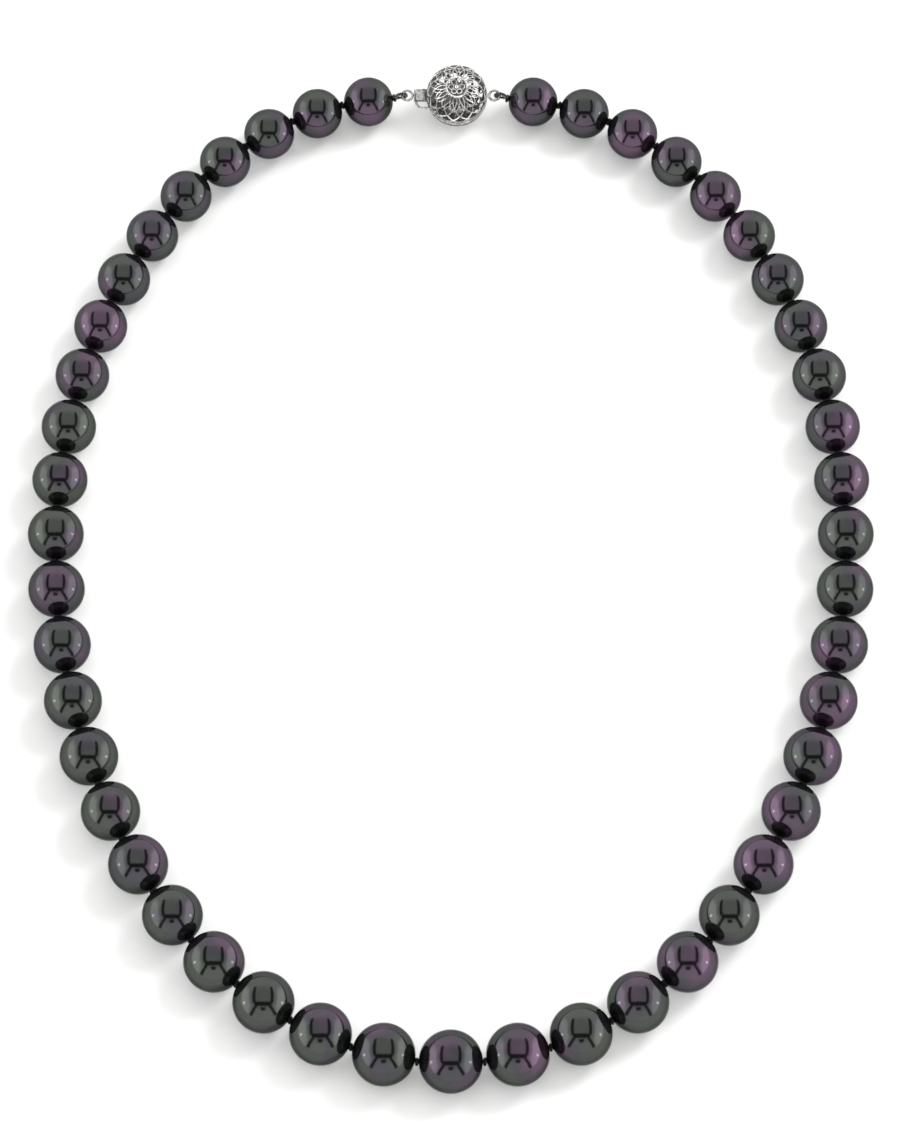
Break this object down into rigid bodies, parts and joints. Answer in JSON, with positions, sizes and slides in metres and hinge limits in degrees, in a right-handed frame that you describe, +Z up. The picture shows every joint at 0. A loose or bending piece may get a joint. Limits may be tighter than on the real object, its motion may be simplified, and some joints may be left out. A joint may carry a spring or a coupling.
{
  "type": "pearl necklace",
  "caption": "Graduated dark pearl necklace, knotted on silk between its pearls, closed by an openwork ball clasp with a spring tongue.",
  "frame": {"origin": "middle of the footprint, on the surface the necklace lies on", "axes": "+Z up out of the lay, +Y towards the clasp, -Y towards the centre pearl, +X to the right arm as laid; the arms mirror each other in X"},
  "size_m": [0.131, 0.1716, 0.0099],
  "materials": {
    "nacre": "mirror-glossy dark nacre with aubergine, peacock green and steel overtones",
    "white_gold": "bright polished rhodium-plated white gold wire"
  },
  "bodies": {
    "pearl_centre": {"pearl_centre": "nacre"},
    "pearl_right_01": {"pearl_right_01": "nacre"},
    "pearl_left_01": {"pearl_left_01": "nacre"},
    "pearl_right_02": {"pearl_right_02": "nacre"},
    "pearl_left_02": {"pearl_left_02": "nacre"},
    "pearl_right_03": {"pearl_right_03": "nacre"},
    "pearl_left_03": {"pearl_left_03": "nacre"},
    "pearl_right_04": {"pearl_right_04": "nacre"},
    "pearl_left_04": {"pearl_left_04": "nacre"},
    "pearl_right_05": {"pearl_right_05": "nacre"},
    "pearl_left_05": {"pearl_left_05": "nacre"},
    "pearl_right_06": {"pearl_right_06": "nacre"},
    "pearl_left_06": {"pearl_left_06": "nacre"},
    "pearl_right_07": {"pearl_right_07": "nacre"},
    "pearl_left_07": {"pearl_left_07": "nacre"},
    "pearl_right_08": {"pearl_right_08": "nacre"},
    "pearl_left_08": {"pearl_left_08": "nacre"},
    "pearl_right_09": {"pearl_right_09": "nacre"},
    "pearl_left_09": {"pearl_left_09": "nacre"},
    "pearl_right_10": {"pearl_right_10": "nacre"},
    "pearl_left_10": {"pearl_left_10": "nacre"},
    "pearl_right_11": {"pearl_right_11": "nacre"},
    "pearl_left_11": {"pearl_left_11": "nacre"},
    "pearl_right_12": {"pearl_right_12": "nacre"},
    "pearl_left_12": {"pearl_left_12": "nacre"},
    "pearl_right_13": {"pearl_right_13": "nacre"},
    "pearl_left_13": {"pearl_left_13": "nacre"},
    "pearl_right_14": {"pearl_right_14": "nacre"},
    "pearl_left_14": {"pearl_left_14": "nacre"},
    "pearl_right_15": {"pearl_right_15": "nacre"},
    "pearl_left_15": {"pearl_left_15": "nacre"},
    "pearl_right_16": {"pearl_right_16": "nacre"},
    "pearl_left_16": {"pearl_left_16": "nacre"},
    "pearl_right_17": {"pearl_right_17": "nacre"},
    "pearl_left_17": {"pearl_left_17": "nacre"},
    "pearl_right_18": {"pearl_right_18": "nacre"},
    "pearl_left_18": {"pearl_left_18": "nacre"},
    "pearl_right_19": {"pearl_right_19": "nacre"},
    "pearl_left_19": {"pearl_left_19": "nacre"},
    "pearl_right_20": {"pearl_right_20": "nacre"},
    "pearl_left_20": {"pearl_left_20": "nacre"},
    "pearl_right_21": {"pearl_right_21": "nacre"},
    "pearl_left_21": {"pearl_left_21": "nacre"},
    "pearl_right_22": {"pearl_right_22": "nacre"},
    "pearl_left_22": {"pearl_left_22": "nacre"},
    "pearl_right_23": {"pearl_right_23": "nacre", "gimp_right": "white_gold"},
    "pearl_left_23": {"pearl_left_23": "nacre", "gimp_left": "white_gold"},
    "clasp_ball": {"ball_upper_shell": "white_gold", "ball_lower_shell": "white_gold", "ball_band": "white_gold", "ball_rosettes": "white_gold", "catch_sleeve": "white_gold", "catch_bar": "white_gold", "ball_ring": "white_gold"},
    "clasp_tongue": {"tongue_ring": "white_gold", "tongue_base": "white_gold", "tongue_hook": "white_gold"},
    "tongue_leaf": {"tongue_spring": "white_gold"}
  },
  "joints": [
    {"name": "drape_01", "type": "hinge", "parent": "pearl_centre", "child": "pearl_right_01", "pos_m": [0.00507, -0.08103, 0.00478], "axis": [1, 0, 0], "range_deg": [-20, 20]},
    {"name": "knot_left_01_drape", "type": "hinge", "parent": "pearl_centre", "child": "pearl_left_01", "pos_m": [-0.00507, -0.08103, 0.00478], "axis": [1, 0, 0], "range_deg": [-20, 20]},
    {"name": "open_clasp", "type": "hinge", "parent": "pearl_right_01", "child": "pearl_right_02", "pos_m": [0.01489, -0.07881, 0.00474], "axis": [0, 0, -1], "range_deg": [0, 9]},
    {"name": "knot_left_02_turn", "type": "hinge", "parent": "pearl_left_01", "child": "pearl_left_02", "pos_m": [-0.01489, -0.07881, 0.00474], "axis": [0, 0, 1], "range_deg": [0, 9]},
    {"name": "drape_03", "type": "hinge", "parent": "pearl_right_02", "child": "pearl_right_03", "pos_m": [0.02396, -0.07462, 0.00471], "axis": [1, 0, 0], "range_deg": [-20, 20]},
    {"name": "knot_left_03_drape", "type": "hinge", "parent": "pearl_left_02", "child": "pearl_left_03", "pos_m": [-0.02396, -0.07462, 0.00471], "axis": [1, 0, 0], "range_deg": [-20, 20]},
    {"name": "knot_right_04_turn", "type": "hinge", "parent": "pearl_right_03", "child": "pearl_right_04", "pos_m": [0.03201, -0.06883, 0.00467], "axis": [0, 0, -1], "range_deg": [0, 9]},
    {"name": "knot_left_04_turn", "type": "hinge", "parent": "pearl_left_03", "child": "pearl_left_04", "pos_m": [-0.03201, -0.06883, 0.00467], "axis": [0, 0, 1], "range_deg": [0, 9]},
    {"name": "drape_05", "type": "hinge", "parent": "pearl_right_04", "child": "pearl_right_05", "pos_m": [0.03895, -0.06185, 0.00463], "axis": [1, 0, 0], "range_deg": [-20, 20]},
    {"name": "knot_left_05_drape", "type": "hinge", "parent": "pearl_left_04", "child": "pearl_left_05", "pos_m": [-0.03895, -0.06185, 0.00463], "axis": [1, 0, 0], "range_deg": [-20, 20]},
    {"name": "knot_right_06_turn", "type": "hinge", "parent": "pearl_right_05", "child": "pearl_right_06", "pos_m": [0.04479, -0.05402, 0.0046], "axis": [0, 0, -1], "range_deg": [0, 9]},
    {"name": "knot_left_06_turn", "type": "hinge", "parent": "pearl_left_05", "child": "pearl_left_06", "pos_m": [-0.04479, -0.05402, 0.0046], "axis": [0, 0, 1], "range_deg": [0, 9]},
    {"name": "drape_07", "type": "hinge", "parent": "pearl_right_06", "child": "pearl_right_07", "pos_m": [0.04963, -0.04561, 0.00456], "axis": [1, 0, 0], "range_deg": [-20, 20]},
    {"name": "knot_left_07_drape", "type": "hinge", "parent": "pearl_left_06", "child": "pearl_left_07", "pos_m": [-0.04963, -0.04561, 0.00456], "axis": [1, 0, 0], "range_deg": [-20, 20]},
    {"name": "knot_right_08_turn", "type": "hinge", "parent": "pearl_right_07", "child": "pearl_right_08", "pos_m": [0.05355, -0.03682, 0.00452], "axis": [0, 0, -1], "range_deg": [0, 9]},
    {"name": "knot_left_08_turn", "type": "hinge", "parent": "pearl_left_07", "child": "pearl_left_08", "pos_m": [-0.05355, -0.03682, 0.00452], "axis": [0, 0, 1], "range_deg": [0, 9]},
    {"name": "drape_09", "type": "hinge", "parent": "pearl_right_08", "child": "pearl_right_09", "pos_m": [0.05663, -0.02778, 0.00449], "axis": [1, 0, 0], "range_deg": [-20, 20]},
    {"name": "knot_left_09_drape", "type": "hinge", "parent": "pearl_left_08", "child": "pearl_left_09", "pos_m": [-0.05663, -0.02778, 0.00449], "axis": [1, 0, 0], "range_deg": [-20, 20]},
    {"name": "knot_right_10_turn", "type": "hinge", "parent": "pearl_right_09", "child": "pearl_right_10", "pos_m": [0.05892, -0.01859, 0.00445], "axis": [0, 0, -1], "range_deg": [0, 9]},
    {"name": "knot_left_10_turn", "type": "hinge", "parent": "pearl_left_09", "child": "pearl_left_10", "pos_m": [-0.05892, -0.01859, 0.00445], "axis": [0, 0, 1], "range_deg": [0, 9]},
    {"name": "drape_11", "type": "hinge", "parent": "pearl_right_10", "child": "pearl_right_11", "pos_m": [0.06043, -0.00931, 0.00441], "axis": [1, 0, 0], "range_deg": [-20, 20]},
    {"name": "knot_left_11_drape", "type": "hinge", "parent": "pearl_left_10", "child": "pearl_left_11", "pos_m": [-0.06043, -0.00931, 0.00441], "axis": [1, 0, 0], "range_deg": [-20, 20]},
    {"name": "knot_right_12_turn", "type": "hinge", "parent": "pearl_right_11", "child": "pearl_right_12", "pos_m": [0.06118, -0.00002, 0.00438], "axis": [0, 0, -1], "range_deg": [0, 9]},
    {"name": "knot_left_12_turn", "type": "hinge", "parent": "pearl_left_11", "child": "pearl_left_12", "pos_m": [-0.06118, -0.00002, 0.00438], "axis": [0, 0, 1], "range_deg": [0, 9]},
    {"name": "drape_13", "type": "hinge", "parent": "pearl_right_12", "child": "pearl_right_13", "pos_m": [0.06118, 0.00924, 0.00434], "axis": [1, 0, 0], "range_deg": [-20, 20]},
    {"name": "knot_left_13_drape", "type": "hinge", "parent": "pearl_left_12", "child": "pearl_left_13", "pos_m": [-0.06118, 0.00924, 0.00434], "axis": [1, 0, 0], "range_deg": [-20, 20]},
    {"name": "knot_right_14_turn", "type": "hinge", "parent": "pearl_right_13", "child": "pearl_right_14", "pos_m": [0.06042, 0.01839, 0.0043], "axis": [0, 0, 1], "range_deg": [0, 9]},
    {"name": "knot_left_14_turn", "type": "hinge", "parent": "pearl_left_13", "child": "pearl_left_14", "pos_m": [-0.06042, 0.01839, 0.0043], "axis": [0, 0, -1], "range_deg": [0, 9]},
    {"name": "drape_15", "type": "hinge", "parent": "pearl_right_14", "child": "pearl_right_15", "pos_m": [0.05891, 0.02736, 0.00426], "axis": [1, 0, 0], "range_deg": [-20, 20]},
    {"name": "knot_left_15_drape", "type": "hinge", "parent": "pearl_left_14", "child": "pearl_left_15", "pos_m": [-0.05891, 0.02736, 0.00426], "axis": [1, 0, 0], "range_deg": [-20, 20]},
    {"name": "knot_right_16_turn", "type": "hinge", "parent": "pearl_right_15", "child": "pearl_right_16", "pos_m": [0.05664, 0.03611, 0.00423], "axis": [0, 0, 1], "range_deg": [0, 9]},
    {"name": "knot_left_16_turn", "type": "hinge", "parent": "pearl_left_15", "child": "pearl_left_16", "pos_m": [-0.05664, 0.03611, 0.00423], "axis": [0, 0, -1], "range_deg": [0, 9]},
    {"name": "drape_17", "type": "hinge", "parent": "pearl_right_16", "child": "pearl_right_17", "pos_m": [0.05359, 0.04453, 0.00419], "axis": [1, 0, 0], "range_deg": [-20, 20]},
    {"name": "knot_left_17_drape", "type": "hinge", "parent": "pearl_left_16", "child": "pearl_left_17", "pos_m": [-0.05359, 0.04453, 0.00419], "axis": [1, 0, 0], "range_deg": [-20, 20]},
    {"name": "knot_right_18_turn", "type": "hinge", "parent": "pearl_right_17", "child": "pearl_right_18", "pos_m": [0.04971, 0.05252, 0.00415], "axis": [0, 0, 1], "range_deg": [0, 9]},
    {"name": "knot_left_18_turn", "type": "hinge", "parent": "pearl_left_17", "child": "pearl_left_18", "pos_m": [-0.04971, 0.05252, 0.00415], "axis": [0, 0, -1], "range_deg": [0, 9]},
    {"name": "drape_19", "type": "hinge", "parent": "pearl_right_18", "child": "pearl_right_19", "pos_m": [0.04495, 0.05993, 0.00412], "axis": [1, 0, 0], "range_deg": [-20, 20]},
    {"name": "knot_left_19_drape", "type": "hinge", "parent": "pearl_left_18", "child": "pearl_left_19", "pos_m": [-0.04495, 0.05993, 0.00412], "axis": [1, 0, 0], "range_deg": [-20, 20]},
    {"name": "knot_right_20_turn", "type": "hinge", "parent": "pearl_right_19", "child": "pearl_right_20", "pos_m": [0.03929, 0.06658, 0.00408], "axis": [0, 0, 1], "range_deg": [0, 9]},
    {"name": "knot_left_20_turn", "type": "hinge", "parent": "pearl_left_19", "child": "pearl_left_20", "pos_m": [-0.03929, 0.06658, 0.00408], "axis": [0, 0, -1], "range_deg": [0, 9]},
    {"name": "drape_21", "type": "hinge", "parent": "pearl_right_20", "child": "pearl_right_21", "pos_m": [0.03272, 0.07223, 0.00404], "axis": [1, 0, 0], "range_deg": [-20, 20]},
    {"name": "knot_left_21_drape", "type": "hinge", "parent": "pearl_left_20", "child": "pearl_left_21", "pos_m": [-0.03272, 0.07223, 0.00404], "axis": [1, 0, 0], "range_deg": [-20, 20]},
    {"name": "knot_right_22_turn", "type": "hinge", "parent": "pearl_right_21", "child": "pearl_right_22", "pos_m": [0.02535, 0.07664, 0.00401], "axis": [0, 0, 1], "range_deg": [0, 9]},
    {"name": "knot_left_22_turn", "type": "hinge", "parent": "pearl_left_21", "child": "pearl_left_22", "pos_m": [-0.02535, 0.07664, 0.00401], "axis": [0, 0, -1], "range_deg": [0, 9]},
    {"name": "drape_23", "type": "hinge", "parent": "pearl_right_22", "child": "pearl_right_23", "pos_m": [0.01737, 0.07959, 0.00397], "axis": [1, 0, 0], "range_deg": [-20, 20]},
    {"name": "knot_left_23_drape", "type": "hinge", "parent": "pearl_left_22", "child": "pearl_left_23", "pos_m": [-0.01737, 0.07959, 0.00397], "axis": [1, 0, 0], "range_deg": [-20, 20]},
    {"name": "ball_link_turn", "type": "hinge", "parent": "pearl_right_23", "child": "clasp_ball", "pos_m": [0.00714, 0.08088, 0.00495], "axis": [0, 0, 1], "range_deg": [0, 9]},
    {"name": "tongue_link_turn", "type": "hinge", "parent": "pearl_left_23", "child": "clasp_tongue", "pos_m": [-0.00714, 0.08088, 0.00495], "axis": [0, 0, -1], "range_deg": [0, 9]},
    {"name": "press_tongue", "type": "hinge", "parent": "clasp_tongue", "child": "tongue_leaf", "pos_m": [0.0017, 0.08087, 0.00501], "axis": [0, -0.9829, -0.184], "range_deg": [0, 3], "stiffness_Nm_per_rad": 0.004}
  ],
  "couplings": [
    {"joint": "knot_left_01_drape", "follows": "drape_01", "ratio": 1},
    {"joint": "knot_left_02_turn", "follows": "open_clasp", "ratio": 1},
    {"joint": "knot_left_03_drape", "follows": "drape_03", "ratio": 1},
    {"joint": "knot_right_04_turn", "follows": "open_clasp", "ratio": 1},
    {"joint": "knot_left_04_turn", "follows": "open_clasp", "ratio": 1},
    {"joint": "knot_left_05_drape", "follows": "drape_05", "ratio": 1},
    {"joint": "knot_right_06_turn", "follows": "open_clasp", "ratio": 1},
    {"joint": "knot_left_06_turn", "follows": "open_clasp", "ratio": 1},
    {"joint": "knot_left_07_drape", "follows": "drape_07", "ratio": 1},
    {"joint": "knot_right_08_turn", "follows": "open_clasp", "ratio": 1},
    {"joint": "knot_left_08_turn", "follows": "open_clasp", "ratio": 1},
    {"joint": "knot_left_09_drape", "follows": "drape_09", "ratio": 1},
    {"joint": "knot_right_10_turn", "follows": "open_clasp", "ratio": 1},
    {"joint": "knot_left_10_turn", "follows": "open_clasp", "ratio": 1},
    {"joint": "knot_left_11_drape", "follows": "drape_11", "ratio": 1},
    {"joint": "knot_right_12_turn", "follows": "open_clasp", "ratio": 1},
    {"joint": "knot_left_12_turn", "follows": "open_clasp", "ratio": 1},
    {"joint": "knot_left_13_drape", "follows": "drape_13", "ratio": 1},
    {"joint": "knot_right_14_turn", "follows": "open_clasp", "ratio": 1},
    {"joint": "knot_left_14_turn", "follows": "open_clasp", "ratio": 1},
    {"joint": "knot_left_15_drape", "follows": "drape_15", "ratio": 1},
    {"joint": "knot_right_16_turn", "follows": "open_clasp", "ratio": 1},
    {"joint": "knot_left_16_turn", "follows": "open_clasp", "ratio": 1},
    {"joint": "knot_left_17_drape", "follows": "drape_17", "ratio": 1},
    {"joint": "knot_right_18_turn", "follows": "open_clasp", "ratio": 1},
    {"joint": "knot_left_18_turn", "follows": "open_clasp", "ratio": 1},
    {"joint": "knot_left_19_drape", "follows": "drape_19", "ratio": 1},
    {"joint": "knot_right_20_turn", "follows": "open_clasp", "ratio": 1},
    {"joint": "knot_left_20_turn", "follows": "open_clasp", "ratio": 1},
    {"joint": "knot_left_21_drape", "follows": "drape_21", "ratio": 1},
    {"joint": "knot_right_22_turn", "follows": "open_clasp", "ratio": 1},
    {"joint": "knot_left_22_turn", "follows": "open_clasp", "ratio": 1},
    {"joint": "knot_left_23_drape", "follows": "drape_23", "ratio": 1},
    {"joint": "ball_link_turn", "follows": "open_clasp", "ratio": 1},
    {"joint": "tongue_link_turn", "follows": "open_clasp", "ratio": 1}
  ]
}
